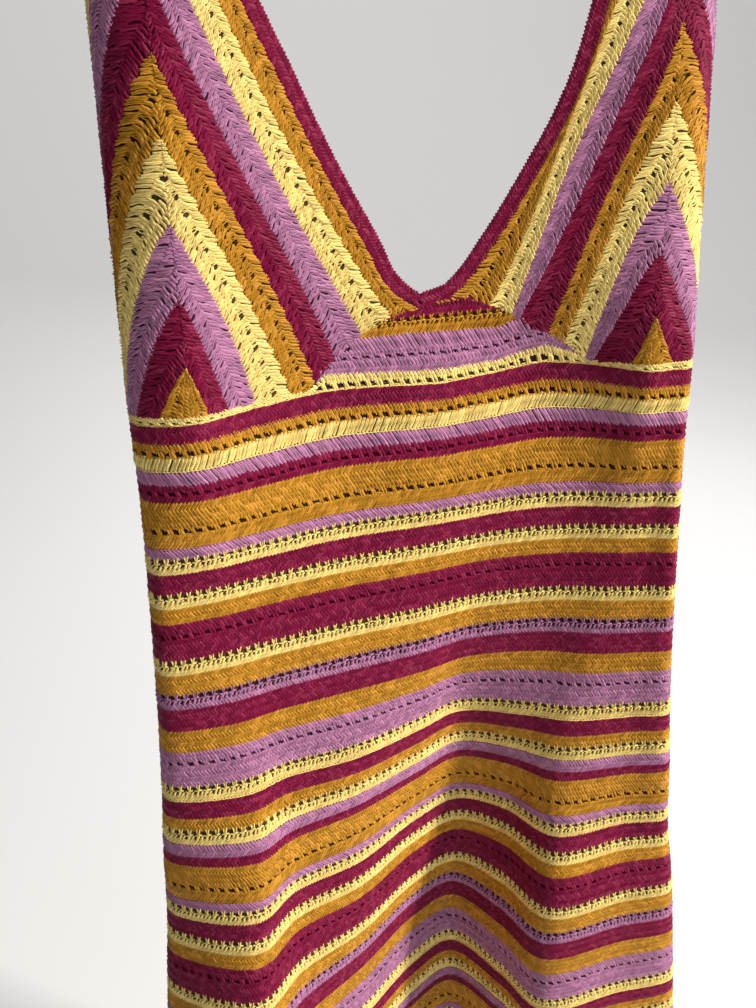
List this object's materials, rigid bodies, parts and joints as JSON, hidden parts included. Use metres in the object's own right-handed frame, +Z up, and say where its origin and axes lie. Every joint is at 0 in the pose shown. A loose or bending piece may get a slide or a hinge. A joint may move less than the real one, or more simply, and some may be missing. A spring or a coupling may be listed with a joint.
{
  "type": "crochet dress on a hanger",
  "caption": "Sleeveless striped crochet dress with mitred bust panels, a V neck and a flared skirt that falls in soft folds, hung flat on a plain hanger.",
  "frame": {"origin": "inner top of the hanger's hook, where it rests on a rod", "axes": "+X to the right of someone facing the front, -Y out of the front of the dress, +Z up"},
  "size_m": [0.442, 0.155, 1.1106],
  "materials": {
    "raspberry_yarn": "matte crocheted cotton",
    "golden_yarn": "matte crocheted cotton",
    "lemon_yarn": "matte crocheted cotton",
    "orchid_yarn": "matte crocheted cotton",
    "hanger_wood": "satin varnish",
    "hook_steel": "bright wire"
  },
  "bodies": {
    "root": {"skirt_front": "raspberry_yarn", "skirt_back": "golden_yarn", "under_bust_row_front": "lemon_yarn", "under_bust_row_back": "lemon_yarn", "cup_left": "golden_yarn", "cup_right": "golden_yarn", "neck_edging": "raspberry_yarn", "bridge": "orchid_yarn", "back_band": "golden_yarn", "back_strap_left": "orchid_yarn", "back_strap_right": "orchid_yarn", "hanger_bar": "hanger_wood", "hanger_hook": "hook_steel"}
  },
  "joints": []
}
